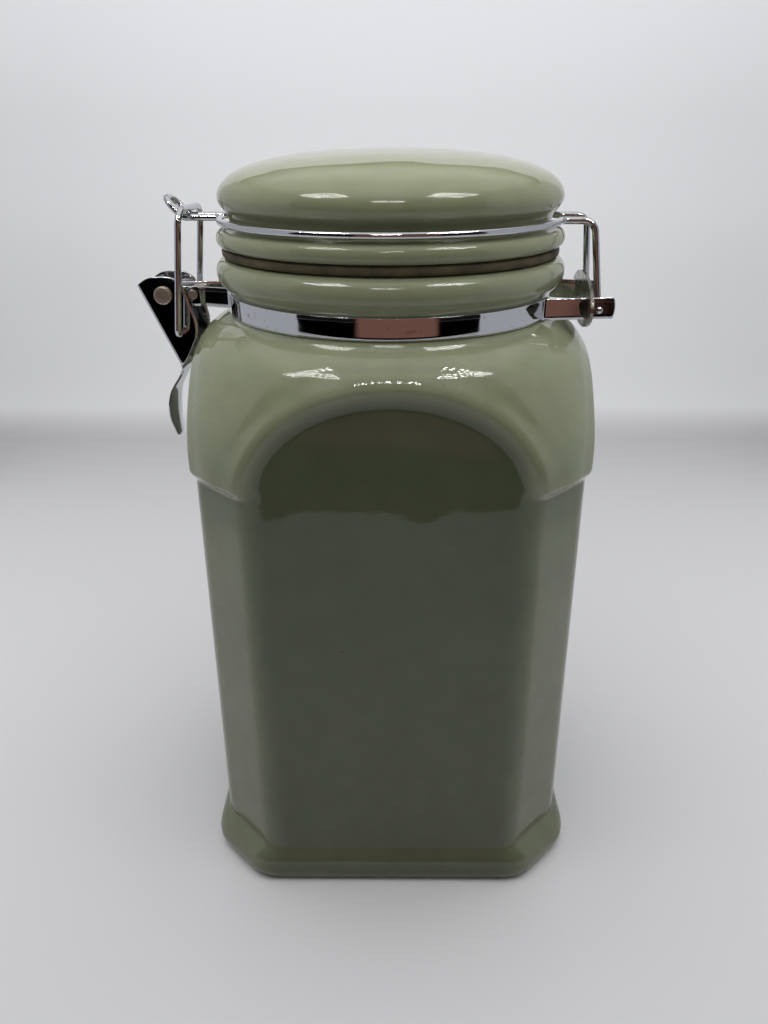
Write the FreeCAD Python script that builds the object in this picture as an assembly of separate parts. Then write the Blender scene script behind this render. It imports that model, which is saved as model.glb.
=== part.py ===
import FreeCAD, Part
import math
import os
from FreeCAD import Vector as V

# Glazed ceramic storage canister with a wire-bail toggle clamp.
# Millimetres, +Z up. The origin is the centre of the foot, on the table plane.
# The clamp hardware is drawn square to X and then turned about Z by CLAMP_TURN.

# ---- driving dimensions -------------------------------------------------
CLAMP_TURN = -5.0        # degrees, whole clamp about the jar's axis

BODY_HALF = 65.9         # panel distance from the axis at the foot
BODY_HALF_TOP = 65.0     # the same under the shoulder
BODY_CHAMFER = 20.0      # corner facet, measured along each side
BODY_SOFTEN = 12.0       # radius that rounds the facet's two edges
FOOT_TOP = 13.5
FOOT_BULGE = 69.7
FOOT_EDGE = 68.6
SHOULDER_LOW = 155.5
SHOULDER_TOP = 205.2
ARCH_HALF = 46.5         # arched panel: half width, springing height, rise
ARCH_SPRING = 161.0
ARCH_RISE = 37.5
ARCH_COVE = 4.2
FLOOR = 8.0

NECK_R = 55.2            # groove that the band grips
RIM_R = 59.4             # bead around the mouth
RIM_Z = 219.3
RIM_TOP = 224.0
MOUTH_R = 47.6

GASKET_R = 57.2
GASKET_IN = 44.6
GASKET_LOW = 224.1
GASKET_TOP = 227.2

FLANGE_R = 58.7          # lower bead of the lid
FLANGE_Z = 230.1
LID_GROOVE_R = 54.0
DOME_R = 57.4
DOME_Z = 242.4
LID_TOP = 256.8
PLUG_R = 44.0
PLUG_LOW = 219.2
LID_HOLLOW_R = 38.0

STRAP_T = 0.8            # band and arm metal
STRAP_LOW = 205.7
STRAP_HIGH = 212.5
STRAP_R = NECK_R + STRAP_T / 2
LATCH_ARM_Y = 5.6        # half spacing of the two arms at the lever
HINGE_ARM_START = (53.8, 21.2)
HINGE_ARM_END = (75.2, 16.2)
HINGE = (69.8, 208.6)    # lid hinge axis, x and z
EAR_HOLE_R = 1.8

WIRE_R = 1.15
RING_R = 57.0
RING_Z = 235.3
NOSE_Y = 4.3             # half spacing of the hairpin that the link holds
LEG_Y = 10.0             # half spacing where the wire leaves the ring
EAR_Y = 15.2             # half spacing of the legs at the ears

PIVOT = (-79.9, 209.6)   # lever rivet, x and z
LINK_HOLE = (-74.3, 196.8)
LEVER_IN = 7.0           # inner face of each lever plate
LEVER_T = 0.8
RIVET_R = 1.95
LINK_Y = 12.5
LINK_TOP = (-69.7, 238.15)
SPACER = (-69.7, 209.7)
LATCH_KNEE_X = -67.2     # the latch arms run parallel beyond this
SPACER_HEAD_R = 1.7

os.makedirs("parts", exist_ok=True)


# ---- plan outlines for the jar ------------------------------------------
def outline(half, corner, z, soften=0.0):
    """Closed wire at height z: a square with round corners, or with facets
    of length `corner` whose two edges are softened by an arc."""
    if soften == 0.0:
        stops = [(45.0, corner)]
    else:
        stops = [(22.5, soften), (67.5, soften)]
    edges, pts = [], []
    for q in range(4):
        a0 = 90.0 * q
        for mid, r in stops:
            if soften == 0.0:
                c = (half - corner, half - corner)
                sweep = 45.0
            else:
                tip = (half, half - corner) if mid < 45 else (half - corner, half)
                d = r / math.cos(math.radians(22.5))
                c = (tip[0] - d * math.cos(math.radians(mid)),
                     tip[1] - d * math.sin(math.radians(mid)))
                sweep = 22.5
            arc = []
            for k in (-sweep, 0.0, sweep):
                t = math.radians(mid + k)
                x, y = c[0] + r * math.cos(t), c[1] + r * math.sin(t)
                ca, sa = math.cos(math.radians(a0)), math.sin(math.radians(a0))
                arc.append(V(x * ca - y * sa, x * sa + y * ca, z))
            pts.append(arc)
    for i, arc in enumerate(pts):
        edges.append(Part.Arc(*arc).toShape())
        nxt = pts[(i + 1) % len(pts)][0]
        if (arc[2] - nxt).Length > 1e-6:
            edges.append(Part.LineSegment(arc[2], nxt).toShape())
    return Part.Wire(edges)


def revolve(points, smooth=()):
    """Solid of revolution about Z from (radius, height) points. A run of points
    whose index pair is in `smooth` becomes one spline."""
    edges, i, n = [], 0, len(points)
    runs = dict(smooth)
    while i < n:
        if i in runs:
            j = runs[i]
            curve = Part.BSplineCurve()
            curve.interpolate([V(r, 0, z) for r, z in points[i:j + 1]])
            edges.append(curve.toShape())
            i = j
        else:
            a, b = points[i], points[(i + 1) % n]
            edges.append(Part.LineSegment(V(a[0], 0, a[1]), V(b[0], 0, b[1])).toShape())
            i += 1
    face = Part.Face(Part.Wire(edges))
    return face.revolve(V(0, 0, 0), V(0, 0, 1), 360)


def jar_body():
    foot = Part.makeLoft([outline(h, 19.0, z, 13.0) for z, h in (
        (0.0, 67.9), (1.4, FOOT_EDGE), (5.5, FOOT_BULGE), (9.5, 69.0),
        (12.3, 67.3), (FOOT_TOP + 1.0, 65.6))], True)
    prism = Part.makeLoft([outline(BODY_HALF, BODY_CHAMFER, 10.0, BODY_SOFTEN),
                           outline(BODY_HALF_TOP, BODY_CHAMFER, 166.0, BODY_SOFTEN)],
                          True, True)
    shoulder = Part.makeLoft([outline(h, r, z) for z, h, r in (
        (SHOULDER_LOW, 63.6, 38.0), (156.8, 66.6, 39.5), (159.4, 68.6, 41.5),
        (163.0, 69.6, 43.0), (168.0, 70.0, 44.5), (175.0, 69.8, 47.0),
        (183.0, 69.1, 51.0), (190.0, 68.2, 56.0), (195.0, 67.0, 59.0),
        (198.8, 65.3, 61.0), (201.6, 62.6, 61.2), (203.8, 59.0, 58.6),
        (SHOULDER_TOP, 55.3, 55.0))], True)
    # one arched recess per side, with a cove around its edge
    ends = [V(-ARCH_HALF, 0, 146), V(-ARCH_HALF, 0, ARCH_SPRING),
            V(0, 0, ARCH_SPRING + ARCH_RISE), V(ARCH_HALF, 0, ARCH_SPRING),
            V(ARCH_HALF, 0, 146)]
    top = Part.Ellipse(V(ARCH_HALF, 0, ARCH_SPRING), V(0, 0, ARCH_SPRING + ARCH_RISE),
                       V(0, 0, ARCH_SPRING))
    a0, a1 = sorted(top.parameter(ends[k]) for k in (1, 3))
    arch = top.toShape(a0, a1)
    if arch.BoundBox.ZMin < ARCH_SPRING - 1.0:
        arch = top.toShape(a1, a0 + 2 * math.pi)
    wire = Part.Wire([arch, Part.LineSegment(ends[3], ends[4]).toShape(),
                      Part.LineSegment(ends[4], ends[0]).toShape(),
                      Part.LineSegment(ends[0], ends[1]).toShape()])
    panel = Part.Face(wire).extrude(V(0, -20, 0))
    panel.translate(V(0, -BODY_HALF_TOP + 0.02, 0))
    back = -BODY_HALF_TOP + 0.02
    soft = [e for e in panel.Edges
            if abs(e.BoundBox.YMin - back) < 1e-4 and abs(e.BoundBox.YMax - back) < 1e-4
            and e.BoundBox.ZMax > 147]
    panel = panel.makeFillet(ARCH_COVE, soft)
    for k in range(4):
        cut = panel.copy()
        cut.rotate(V(0, 0, 0), V(0, 0, 1), 90 * k)
        shoulder = shoulder.cut(cut)
    neck = revolve([(0, 190), (NECK_R, 190), (NECK_R, 213.0), (56.4, 213.6), (58.2, 215.2),
                    (59.2, 217.3), (RIM_R, RIM_Z), (59.1, 221.4), (58.0, 223.0),
                    (56.2, 223.9), (54.6, RIM_TOP), (0, RIM_TOP)], {2: 10})
    outer = foot.fuse([prism, shoulder, neck]).removeSplitter()
    hollow = Part.makeLoft([outline(h, r, z) for z, h, r in (
        (FLOOR, 55.5, 27.0), (FLOOR + 3.5, 58.2, 29.0), (30.0, 59.4, 30.0),
        (90.0, 59.2, 30.0), (145.0, 58.8, 30.0), (165.0, 59.2, 34.0),
        (180.0, 60.2, 43.0), (190.0, 59.4, 50.0), (197.5, 56.0, 54.4),
        (203.0, 50.4, 50.0), (208.0, MOUTH_R, MOUTH_R - 0.3))], True)
    mouth = Part.makeCylinder(MOUTH_R, 30, V(0, 0, 206))
    return outer.cut(hollow).cut(mouth)


def lid():
    dome = [(55.2, 238.3), (56.7, 240.1), (DOME_R, DOME_Z), (56.6, 245.3), (53.8, 248.4),
            (48.6, 251.2), (41.0, 253.5), (31.0, 255.2), (19.0, 256.3), (8.0, 256.7),
            (0.0, LID_TOP)]
    bead = [(55.0, 233.2), (57.0, 232.9), (58.3, 231.8), (FLANGE_R, FLANGE_Z),
            (58.2, 228.3), (57.0, 227.4)]
    inside = [(0.0, 250.0), (20.0, 249.2), (32.0, 246.4), (37.0, 241.0), (LID_HOLLOW_R, 234.0)]
    pts = (inside + [(LID_HOLLOW_R, PLUG_LOW + 1.0), (LID_HOLLOW_R + 1.0, PLUG_LOW),
                     (PLUG_R - 1.0, PLUG_LOW), (PLUG_R, PLUG_LOW + 1.0),
                     (PLUG_R, GASKET_TOP), (56.4, GASKET_TOP)]
           + bead[::-1] + [(LID_GROOVE_R, 234.0), (LID_GROOVE_R, 237.4)] + dome)
    n_in = len(inside)
    b0 = n_in + 6
    b1 = b0 + len(bead) - 1
    d0 = b1 + 3
    return revolve(pts, {0: n_in - 1, b0: b1, d0: d0 + len(dome) - 1})


def gasket():
    ring = Part.makeCylinder(GASKET_R, GASKET_TOP - GASKET_LOW, V(0, 0, GASKET_LOW))
    ring = ring.cut(Part.makeCylinder(GASKET_IN, 10, V(0, 0, GASKET_LOW - 2)))
    rims = [e for e in ring.Edges if len(e.Vertexes) == 1 and e.BoundBox.XMax > GASKET_R - 0.1]
    return ring.makeFillet(0.9, rims)


# ---- bent wire and strap ------------------------------------------------
def bent_path(points, radii):
    """Straight runs joined by tangent arcs. radii[i] rounds points[i + 1]."""
    edges, here = [], points[0]
    for i in range(1, len(points) - 1):
        p, q = points[i], points[i + 1]
        u, w = (points[i - 1] - p).normalize(), (q - p).normalize()
        half = u.getAngle(w) / 2
        back = radii[i - 1] / math.tan(half)
        start, end = p + u * back, p + w * back
        to_c = (u + w).normalize()
        mid = p + to_c * (radii[i - 1] / math.sin(half) - radii[i - 1])
        edges.append(Part.LineSegment(here, start).toShape())
        edges.append(Part.Arc(start, mid, end).toShape())
        here = end
    edges.append(Part.LineSegment(here, points[-1]).toShape())
    return edges


def leave_circle(r, bend, line_from, line_to):
    """Tangent arc from the circle of radius r (about Z) onto a straight line that
    runs outwards, below the X axis. Returns touch point, arc middle, line point."""
    d = (line_to - line_from).normalize()
    n = V(-d.y, d.x, 0)
    if n.y > 0:
        n = n * -1
    up = V(0, 0, line_from.z)
    base = line_from - up + n * bend
    b, c = base.dot(d), base.dot(base) - (r + bend) ** 2
    centre = base + d * (math.sqrt(b * b - c) - b)
    touch = centre * (r / (r + bend))
    onto = centre - n * bend
    mid = centre + ((touch - centre) + (onto - centre)).normalize() * bend
    return touch + up, mid + up, onto + up


def flip(p):
    return V(p.x, -p.y, p.z)


def round_wire(edges, radius, name):
    """Sweep a circle along the edges; print the volume against section x length."""
    path = Part.Wire(edges)
    start, tangent = edges[0].Vertexes[0].Point, edges[0].tangentAt(edges[0].FirstParameter)
    ring = Part.Wire(Part.Circle(start, tangent, radius).toShape())
    solid = path.makePipeShell([ring], True, False)
    print(name, "volume", round(solid.Volume, 1), "expected",
          round(math.pi * radius ** 2 * path.Length, 1))
    return solid


def half_band():
    """Front strap: latch arm, neck arc, hinge arm, as one bent strip."""
    zc = STRAP_LOW
    tip = V(PIVOT[0] - 3.6, -LATCH_ARM_Y, zc)
    knee = V(LATCH_KNEE_X, -LATCH_ARM_Y, zc)
    root = V(-57.0, -8.3, zc)
    t1, m1, l1 = leave_circle(STRAP_R, 1.5, root, knee)
    s, e = V(*HINGE_ARM_START, zc), V(*HINGE_ARM_END, zc)
    s, e = flip(s), flip(e)
    t2, m2, l2 = leave_circle(STRAP_R, 1.5, s, e)
    edges = bent_path([tip, knee, l1], [6.0])
    edges.append(Part.Arc(l1, m1, t1).toShape())
    edges.append(Part.Arc(t1, V(0, -STRAP_R, zc), t2).toShape())
    edges.append(Part.Arc(t2, m2, l2).toShape())
    edges.append(Part.LineSegment(l2, e).toShape())
    path = Part.Wire(edges)
    h, w = STRAP_HIGH - STRAP_LOW, STRAP_T / 2
    prof = Part.makePolygon([tip + V(0, -w, 0), tip + V(0, w, 0), tip + V(0, w, h),
                             tip + V(0, -w, h), tip + V(0, -w, 0)])
    band = path.makePipeShell([prof], True, False)
    print("half_band volume", round(band.Volume, 1), "expected",
          round(h * STRAP_T * path.Length, 1))
    # rounded ends: keep what lies inside a stadium seen along Y
    r = h / 2
    cz = STRAP_LOW + r
    for x, sign, er in ((tip.x + r, -1, r), (e.x - 9.0, 1, 9.0)):
        end = Part.makeBox(30, 60, h + 2, V(x if sign > 0 else x - 30, -60, STRAP_LOW - 1))
        disc = Part.makeCylinder(er, 60, V(x, 0, cz), V(0, -1, 0))
        band = band.cut(end.cut(disc))
    holes = [(PIVOT, RIVET_R), (SPACER, 1.4), (HINGE, EAR_HOLE_R)]
    for (x, z), hr in holes:
        band = band.cut(Part.makeCylinder(hr, 60, V(x, 0, z), V(0, -1, 0)))
    return band


def mirrored(shape):
    return shape.mirror(V(0, 0, 0), V(0, 1, 0))


def keeper_plate():
    x0, t = 66.1, 1.0
    zc = (STRAP_LOW + STRAP_HIGH) / 2 + 0.2
    rim = Part.Ellipse(V(x0, 25.0, zc), V(x0, 0, zc + 8.6), V(x0, 0, zc)).toShape()
    plate = Part.Face(Part.Wire(rim)).extrude(V(t, 0, 0))
    ax, ay = HINGE_ARM_START
    slope = (HINGE_ARM_END[1] - ay) / (HINGE_ARM_END[0] - ax)
    y = ay + slope * (x0 + t / 2 - ax)
    for sign in (-1, 1):
        plate = plate.cut(Part.makeBox(4, 1.7, STRAP_HIGH - STRAP_LOW + 0.5,
                                       V(x0 - 1, sign * y - 0.85, STRAP_LOW - 0.25)))
    return plate


def pin_y(x, z, spans):
    """Turned pin along Y: spans are (radius, y from, y to)."""
    parts = [Part.makeCylinder(r, b - a, V(x, a, z), V(0, 1, 0)) for r, a, b in spans]
    return parts[0].fuse(parts[1:]).removeSplitter() if len(parts) > 1 else parts[0]


def lever_rivet():
    head = LEVER_IN + LEVER_T + 0.15
    pin = pin_y(*PIVOT, [(RIVET_R - 0.06, -head - 0.2, head + 0.2),
                         (3.15, -head - 1.0, -head), (3.15, head, head + 1.0)])
    rims = [e for e in pin.Edges if len(e.Vertexes) == 1
            and abs(abs(e.BoundBox.YMin) - head - 1.0) < 1e-3]
    return pin.makeFillet(0.6, rims)


def arm_spacer():
    face = LATCH_ARM_Y + STRAP_T / 2
    pin = pin_y(*SPACER, [(1.35, -face - 0.2, face + 0.2),
                          (2.6, -LATCH_ARM_Y + STRAP_T / 2, LATCH_ARM_Y - STRAP_T / 2),
                          (SPACER_HEAD_R, -face - 0.65, -face),
                          (SPACER_HEAD_R, face, face + 0.65)])
    rims = [e for e in pin.Edges if len(e.Vertexes) == 1
            and abs(abs(e.BoundBox.YMin) - face - 0.65) < 1e-3]
    return pin.makeFillet(0.4, rims)


def lid_wire():
    """One wire: ear, leg, near half of the ring, hairpin nose, far half, leg, ear."""
    z = RING_Z
    ear = [V(HINGE[0], -19.3, HINGE[1]), V(HINGE[0], -EAR_Y, HINGE[1]),
           V(66.9, -LEG_Y, z)]
    t2, m2, l2 = leave_circle(RING_R, 3.0, V(50, -LEG_Y, z), V(66, -LEG_Y, z))
    side = bent_path(ear + [l2], [1.7, 4.0])
    side.append(Part.Arc(l2, m2, t2).toShape())
    t1, m1, l1 = leave_circle(RING_R, 3.0, V(-50, -NOSE_Y, z), V(-66, -NOSE_Y, z))
    side.append(Part.Arc(t2, V(0, -RING_R, z), t1).toShape())
    side.append(Part.Arc(t1, m1, l1).toShape())
    knee, lift = V(-70.9, -NOSE_Y, z), V(-74.0, -NOSE_Y, 238.4)
    up = (lift - knee).normalize()
    side += bent_path([l1, knee, lift], [3.0])
    tip = V(lift.x, 0, lift.z) + up * NOSE_Y
    hook = Part.Arc(lift, tip, flip(lift)).toShape()
    far = []
    for e in reversed(side):
        m = e.mirror(V(0, 0, 0), V(0, 1, 0))
        a, b = m.FirstParameter, m.LastParameter
        p = [m.valueAt(a), m.valueAt((a + b) / 2), m.valueAt(b)]
        if isinstance(m.Curve, Part.Line):
            far.append(Part.LineSegment(p[2], p[0]).toShape())
        else:
            far.append(Part.Arc(p[2], p[1], p[0]).toShape())
    return round_wire(side + [hook] + far, WIRE_R, "lid_wire")


def latch_link():
    hx, hz = LINK_HOLE
    tx, tz = LINK_TOP
    pts = [V(hx, -LEVER_IN + 0.9, hz), V(hx, -LINK_Y, hz), V(tx, -LINK_Y, tz),
           V(tx, LINK_Y, tz), V(hx, LINK_Y, hz), V(hx, LEVER_IN - 0.9, hz)]
    return round_wire(bent_path(pts, [1.7, 5.0, 5.0, 1.7]), WIRE_R, "latch_link")


def latch_lever():
    """Stamped channel: two cheeks, a web along the outer edge, a curved thumb leaf."""
    A, D = V(-89.3, 0, 212.9), V(-76.2, 0, 183.5)
    d = (D - A).normalize()
    n = V(-d.z, 0, d.x)
    if n.x > 0:
        n = n * -1
    wide = LEVER_IN + LEVER_T

    def cheek(y0):
        top = Part.Arc(A, V(-80.2, 0, 216.4), V(-73.2, 0, 214.3)).toShape()
        b = V(-73.2, 0, 214.3)
        c = V(-68.2, 0, 200.2)
        side = Part.LineSegment(b, c).toShape()
        low = Part.Arc(c, V(-70.6, 0, 191.6), D).toShape()
        edge = Part.LineSegment(D, A).toShape()
        face = Part.Face(Part.Wire([top, side, low, edge]))
        face.translate(V(0, y0, 0))
        return face.extrude(V(0, LEVER_T, 0))

    web = Part.Face(Part.makePolygon([A, A + n * LEVER_T, D + n * LEVER_T, D, A]))
    web.translate(V(0, -wide, 0))
    web = web.extrude(V(0, 2 * wide, 0))
    # thumb leaf: a bowed strip trimmed to a pointed leaf
    back = D - d * 3.0
    out = [back + n * LEVER_T, D + n * LEVER_T, V(-78.0, 0, 180.4), V(-81.2, 0, 173.6),
           V(-82.7, 0, 165.0), V(-82.7, 0, 154.6)]
    inn = [back, D, V(-77.2, 0, 180.0), V(-80.3, 0, 173.3), V(-81.8, 0, 165.0),
           V(-81.8, 0, 154.6)]
    c1, c2 = Part.BSplineCurve(), Part.BSplineCurve()
    c1.interpolate(out)
    c2.interpolate(inn)
    strip = Part.Face(Part.Wire([c1.toShape(), Part.LineSegment(out[-1], inn[-1]).toShape(),
                                 c2.toShape(), Part.LineSegment(inn[0], out[0]).toShape()]))
    strip.translate(V(0, -10, 0))
    strip = strip.extrude(V(0, 20, 0))
    leaf = [V(-95, 0, 154.4), V(-95, 4.6, 159.0), V(-95, 7.6, 168.0), V(-95, 6.6, 176.0),
            V(-95, 4.9, 181.0), V(-95, 5.2, 186.0)]
    right = Part.BSplineCurve()
    right.interpolate(leaf)
    left = Part.BSplineCurve()
    left.interpolate([flip(p) for p in leaf])
    trim = Part.Face(Part.Wire([right.toShape(),
                                Part.LineSegment(leaf[-1], flip(leaf[-1])).toShape(),
                                left.toShape()]))
    strip = strip.common(trim.extrude(V(40, 0, 0)))
    body = cheek(-wide).fuse([cheek(LEVER_IN), web, strip]).removeSplitter()
    for (x, z), r in ((PIVOT, RIVET_R), (LINK_HOLE, 1.75)):
        body = body.cut(Part.makeCylinder(r, 40, V(x, -20, z), V(0, 1, 0)))
    return body


nodes = {"jar_body": jar_body(), "lid": lid(), "gasket": gasket()}
front = half_band()
clamp = {"front_half_band": front, "rear_half_band": mirrored(front),
         "keeper_plate": keeper_plate(), "lever_rivet": lever_rivet(),
         "arm_spacer": arm_spacer(), "lid_wire": lid_wire(),
         "latch_link": latch_link(), "latch_lever": latch_lever()}
for name, shape in clamp.items():
    shape.rotate(V(0, 0, 0), V(0, 0, 1), CLAMP_TURN)
    nodes[name] = shape

for name, shape in nodes.items():
    solids = shape.Solids
    shape = solids[0] if len(solids) == 1 else shape
    bb = shape.BoundBox
    print(name, "solids", len(solids), "valid", shape.isValid(),
          "cm3", round(shape.Volume / 1000, 2),
          "box", [round(v, 1) for v in (bb.XMin, bb.YMin, bb.ZMin, bb.XMax, bb.YMax, bb.ZMax)])
    shape.exportStep("parts/" + name + ".step")
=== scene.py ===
# %% [markdown]
# # A clamp-lid canister, dressed around its frame
# The canister is a glazed ceramic jar with arched side panels, a domed lid on a rubber ring,
# and a sprung wire clamp in chrome. The frame that is loaded first holds the engineered parts
# and their joints. Everything after it adds the looks: each new piece sits in the space of
# the part it stands for, and moves with the same body.

import bmesh
import bpy
import numpy as np
from mathutils import Matrix, Vector


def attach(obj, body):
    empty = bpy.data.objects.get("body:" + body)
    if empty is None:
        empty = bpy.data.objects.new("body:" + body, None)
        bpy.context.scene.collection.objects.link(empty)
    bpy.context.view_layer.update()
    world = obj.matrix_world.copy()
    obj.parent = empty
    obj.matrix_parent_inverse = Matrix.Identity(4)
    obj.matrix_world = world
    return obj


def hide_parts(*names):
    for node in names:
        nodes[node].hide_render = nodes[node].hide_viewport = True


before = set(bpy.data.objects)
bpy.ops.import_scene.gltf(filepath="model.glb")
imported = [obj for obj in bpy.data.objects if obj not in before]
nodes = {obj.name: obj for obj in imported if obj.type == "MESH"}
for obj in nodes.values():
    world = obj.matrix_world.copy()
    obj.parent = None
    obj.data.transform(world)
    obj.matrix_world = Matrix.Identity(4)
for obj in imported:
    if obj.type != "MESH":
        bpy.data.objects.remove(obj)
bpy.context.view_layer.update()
MM = 0.001
print("frame nodes:", ", ".join(sorted(nodes)))

# %% [markdown]
# ## Camera
# A phone held a little above the lid looks down at the jar from close by, so the sides
# converge towards the foot. The lens is given in millimetres for a sensor whose long side is
# 36 mm. Three turns place the camera: it pitches down, pans a touch and rolls a touch.

# %% Camera
CAMERA_AT = (0.00054, -0.28834, 0.25995)
PITCH_DOWN, PAN, ROLL = 0.4386, 0.011, -0.005
lens = bpy.data.cameras.new("view_camera")
lens.sensor_width, lens.lens = 36.0, 28.125
camera = bpy.data.objects.new("view_camera", lens)
turn = (Matrix.Rotation(PAN, 4, "Z") @ Matrix.Rotation(np.pi / 2 - PITCH_DOWN, 4, "X")
        @ Matrix.Rotation(ROLL, 4, "Z"))
camera.matrix_world = Matrix.Translation(CAMERA_AT) @ turn
bpy.context.scene.collection.objects.link(camera)
bpy.context.scene.camera = camera
bpy.context.scene.view_settings.view_transform = "Standard"
print("camera at", CAMERA_AT)

# %% [markdown]
# ## Meshes from arrays
# Every new piece is a grid of points worked out with numpy: rows run along the shape and
# columns run round it. One function turns such a grid into a mesh. It can close the columns
# into a ring, close the first and last rows with a pole, and it keeps the faces pointing out.

# %% Grid to mesh
def grid_mesh(name, rows, ring=True, poles=(None, None), smooth=True):
    """Mesh from an array of points, rows x columns x 3, in metres.

    With ring=True the last column joins the first. A pole is one point that closes the
    rows at that end with a fan of triangles.
    """
    n, m = rows.shape[:2]
    index = np.arange(n * m).reshape(n, m)
    after = np.roll(index, -1, axis=1) if ring else index[:, 1:]
    here = index if ring else index[:, :-1]
    quads = np.stack([here[:-1], after[:-1], after[1:], here[1:]], -1).reshape(-1, 4)
    faces, points = quads.tolist(), rows.reshape(-1, 3)
    for end, pole in enumerate(poles):
        if pole is None:
            continue
        row, tip = (index[0], index[-1])[end], len(points)
        points = np.vstack([points, pole])
        fan = np.stack([row, np.full(m, tip), np.roll(row, -1)], -1)
        faces += (fan if end == 0 else fan[:, ::-1]).tolist()
    mesh = bpy.data.meshes.new(name)
    mesh.from_pydata(points.tolist(), [], faces)
    work = bmesh.new()
    work.from_mesh(mesh)
    bmesh.ops.remove_doubles(work, verts=work.verts, dist=1e-7)
    bmesh.ops.dissolve_degenerate(work, edges=work.edges, dist=1e-7)
    if ring and work.calc_volume(signed=True) < 0:
        bmesh.ops.reverse_faces(work, faces=work.faces)
    work.to_mesh(mesh)
    work.free()
    if smooth:
        mesh.shade_smooth()
    piece = bpy.data.objects.new(name, mesh)
    bpy.context.scene.collection.objects.link(piece)
    print(f"{name}: {len(points)} points, {len(faces)} faces")
    return piece


def dress(piece, body, node):
    """Says which body carries the piece, and hides the node that it stands for."""
    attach(piece, body)
    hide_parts(node)


def smooth_curve(x, knots, values):
    """Cubic through given knots: each piece leaves a knot with the mean slope of its
    two neighbours, so the curve has no corners."""
    knots, values = np.asarray(knots, float), np.asarray(values, float)
    slope = np.gradient(values, knots)
    i = np.clip(np.searchsorted(knots, x) - 1, 0, len(knots) - 2)
    width = knots[i + 1] - knots[i]
    t = np.clip((x - knots[i]) / width, 0, 1)
    return ((2 * t ** 3 - 3 * t ** 2 + 1) * values[i] + (t ** 3 - 2 * t ** 2 + t) * width * slope[i]
            + (3 * t ** 2 - 2 * t ** 3) * values[i + 1] + (t ** 3 - t ** 2) * width * slope[i + 1])


def soft_min(a, b, reach):
    """The smaller of two surfaces, with their meeting line rounded over `reach`."""
    overlap = np.maximum(reach - np.abs(a - b), 0) / reach
    return np.minimum(a, b) - overlap ** 2 * reach / 4


def soft_max(a, b, reach):
    """The larger of two surfaces, with the valley between them filled over `reach`."""
    return -soft_min(-a, -b, reach)


def soft_step(x):
    """0 below 0, 1 above 1, and an S between."""
    x = np.clip(x, 0, 1)
    return x * x * (3 - 2 * x)


def turned(profile, columns):
    """Grid of points: a profile of (radius, height) pairs in mm carried round the Z axis."""
    angle = np.linspace(0, 2 * np.pi, columns, endpoint=False)
    radius, height = profile[:, :1], profile[:, 1:]
    return np.stack([radius * np.cos(angle), radius * np.sin(angle),
                     height + 0 * angle], -1) * MM


def through(points, count):
    """`count` points along a smooth curve through a few (radius, height) pairs."""
    points = np.asarray(points, float)
    run = np.r_[0, np.cumsum(np.hypot(*np.diff(points, axis=0).T))]
    at = np.linspace(0, run[-1], count)
    return np.stack([smooth_curve(at, run, points[:, k]) for k in (0, 1)], -1)

# %% [markdown]
# ## The jar
# The jar is slip-cast, so every edge is soft and the glaze rounds it further. Seen from above
# it is a square with cut corners up to the shoulder, then a square with big round corners
# that shrinks to the round neck. The shoulder is a thicker cap over the lower body, and each
# side has an arched window in that cap. So the radius is worked out for every direction and
# height: first the lower body, then the shoulder, and a mask that is 0 in the arch and below
# the cap and 1 on the cap. Between them the mask is an S, which makes the rolled edge.

# %% Jar shape
BODY_HALF_LOW, BODY_HALF_HIGH = 65.9, 65.0
BODY_FACET, FACET_SOFT = 20.0, 4.4
CAP_LOW, CAP_HIGH = 157.4, 162.2
ARCH_SPRING = 160.0
ARCH_INNER = (40.4, 28.0)
ARCH_OUTER = (46.0, 34.8)
ROLL_UP, ROLL_DIP = 0.35, 0.22
#                height half-width corner radius
SHOULDER = np.array([
    (150.0, 68.8, 39.0), (159.4, 69.2, 39.5), (163.0, 69.5, 40.5), (168.0, 69.8, 42.5),
    (175.0, 69.7, 46.0), (183.0, 69.1, 51.0), (190.0, 68.2, 56.0), (195.0, 67.0, 59.0),
    (198.8, 65.3, 61.0), (201.6, 62.6, 61.2), (203.8, 59.0, 58.6), (205.2, 55.4, 55.2)])
FOOT = np.array([(0.0, 67.9), (1.4, 68.7), (3.2, 69.4), (5.5, 69.7), (8.0, 69.4),
                 (10.2, 68.6), (12.0, 67.4), (13.4, 66.0), (15.5, 63.0)])


def round_square(angle, half, corner):
    """Distance from the axis to a square with round corners, in the direction `angle`."""
    a, b = np.abs(np.cos(angle)), np.abs(np.sin(angle))
    a, b = np.maximum(a, b), np.minimum(a, b)
    middle = half - corner
    along = middle * (a + b)
    arc = along + np.sqrt(np.maximum(along ** 2 - 2 * middle ** 2 + corner ** 2, 0))
    return np.where(half * b / a <= middle, half / a, arc)


def cut_square(angle, half, facet, reach):
    """The same for a square whose corners are cut by a 45 degree facet."""
    a, b = np.abs(np.cos(angle)), np.abs(np.sin(angle))
    a, b = np.maximum(a, b), np.minimum(a, b)
    return soft_min(half / a, (2 * half - facet) / (a + b), reach)


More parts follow.
